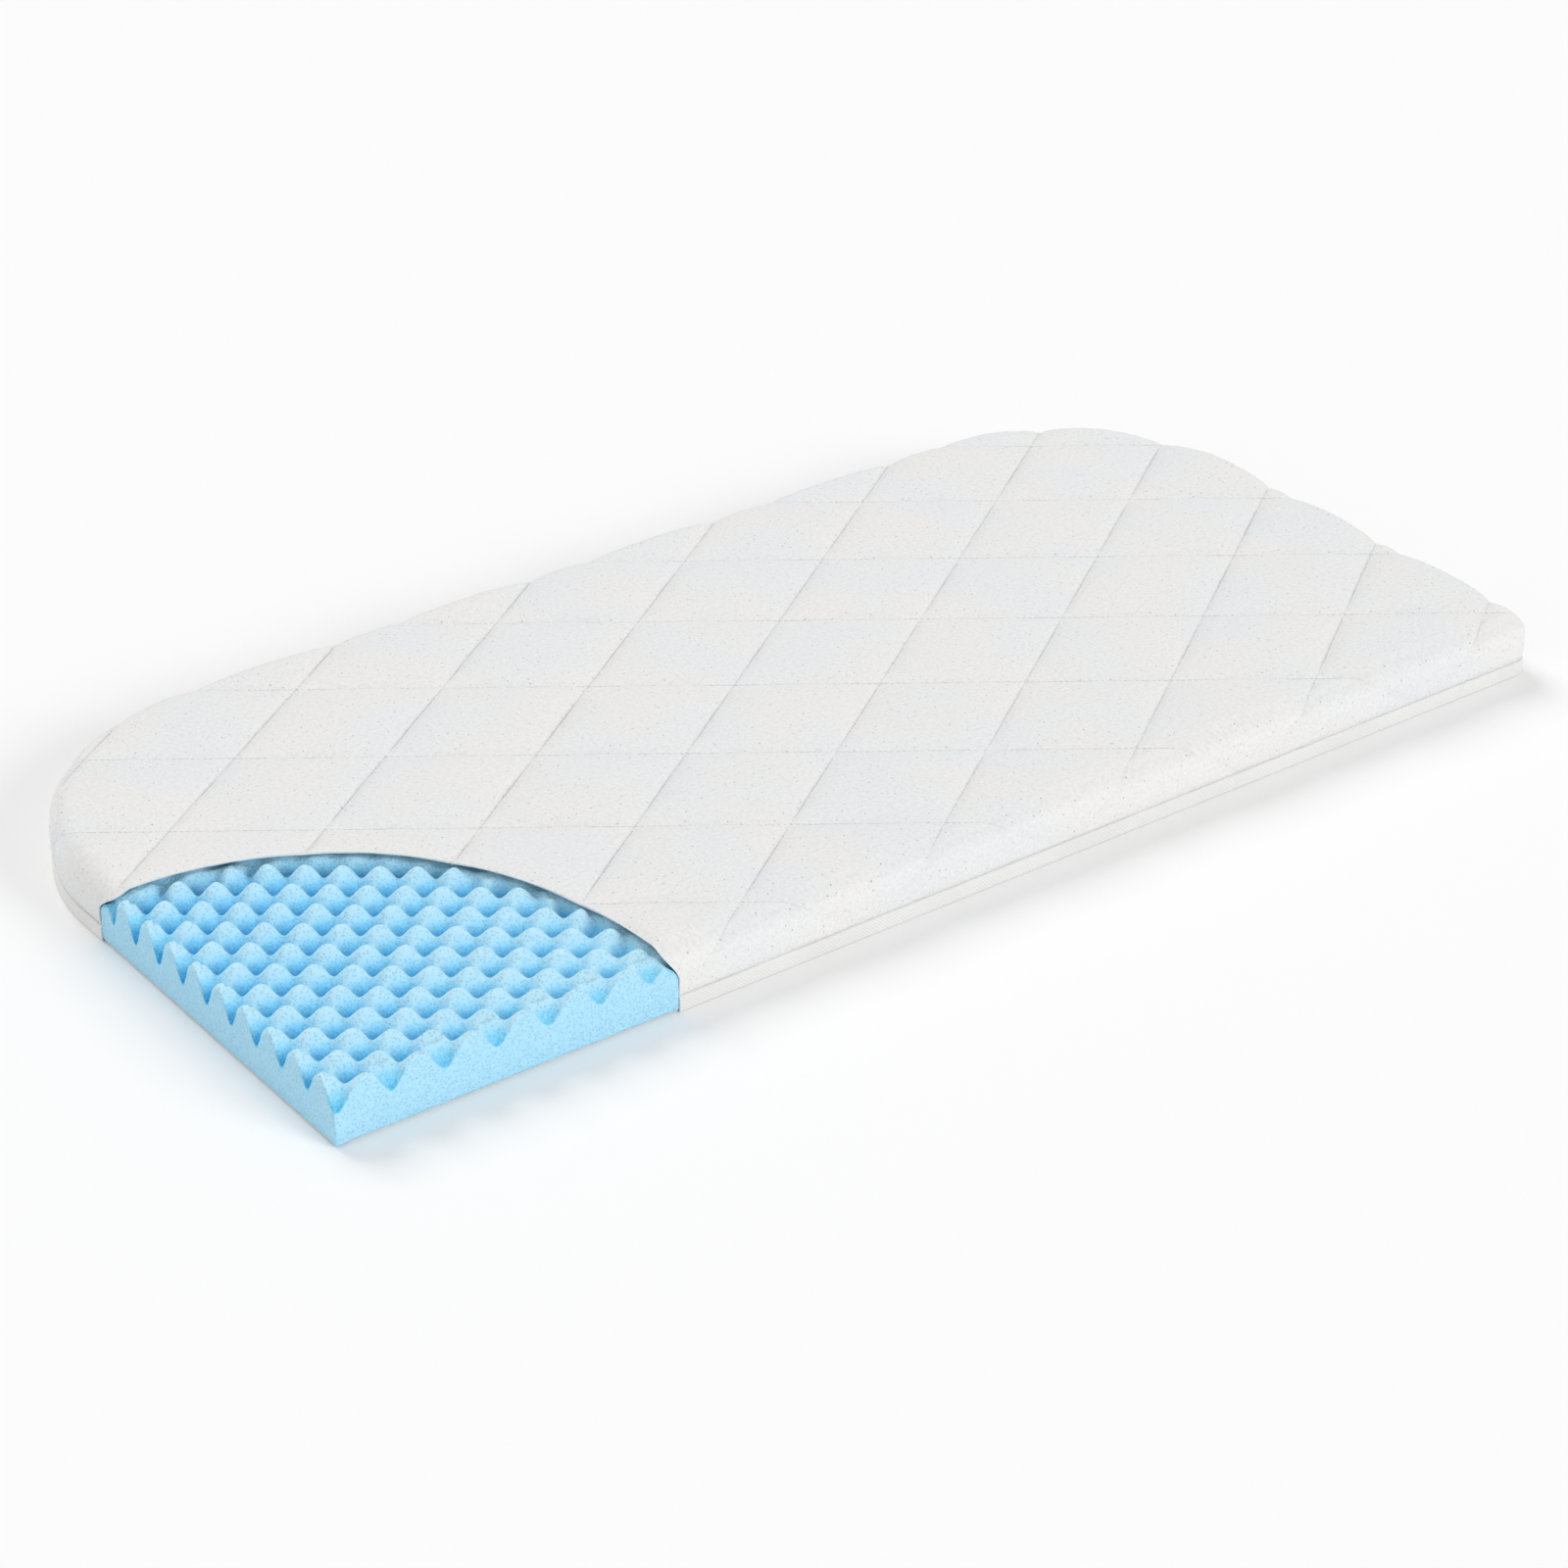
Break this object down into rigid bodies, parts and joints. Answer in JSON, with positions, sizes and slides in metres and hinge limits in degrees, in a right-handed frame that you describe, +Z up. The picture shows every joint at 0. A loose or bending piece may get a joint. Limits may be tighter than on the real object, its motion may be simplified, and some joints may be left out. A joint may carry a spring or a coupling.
{
  "type": "bedside cot mattress",
  "caption": "D-shaped baby mattress: convoluted foam core in a diamond-quilted zip-off cover, cut away at one corner to show the foam.",
  "frame": {"origin": "on the floor, under the middle of the mattress's box", "axes": "+X along the straight front edge, +Y towards the back edge with the two round corners, +Z up"},
  "size_m": [0.89, 0.4305, 0.042],
  "materials": {
    "knit": "off-white dimpled jersey knit, matt",
    "bottom_knit": "off-white plain jersey knit, matt",
    "wadding": "white polyester wadding, fluffy",
    "backing": "thin white non-woven fleece",
    "foam": "light blue open-cell foam, matt",
    "thread": "white polyester thread",
    "label": "white woven satin, blank",
    "zip_tape": "white woven tape",
    "zip_coil": "white polyester coil",
    "zip_metal": "nickel-plated die casting"
  },
  "bodies": {
    "mattress": {"foam_core": "foam", "top_ticking": "knit", "top_wadding": "wadding", "top_backing": "backing", "bottom_panel": "bottom_knit", "quilting_thread": "thread", "edge_seam_thread": "thread", "care_label": "label", "zip_tape_upper": "zip_tape", "zip_tape_lower": "zip_tape", "zip_coil_upper": "zip_coil", "zip_coil_lower": "zip_coil", "zip_stitching": "thread", "zip_top_stops": "zip_metal", "zip_bottom_stop": "zip_metal"},
    "slider": {"zip_slider": "zip_metal"},
    "pull_tab": {"zip_pull_tab": "zip_metal"}
  },
  "joints": [
    {"name": "zip_slide", "type": "slide", "parent": "mattress", "child": "slider", "axis": [-1, 0, 0], "range_m": [0, 0.43]},
    {"name": "pull_tab_hinge", "type": "hinge", "parent": "slider", "child": "pull_tab", "pos_m": [0.2175, 0.21435, 0.016], "axis": [0, 0, -1], "range_deg": [0, 180]}
  ]
}
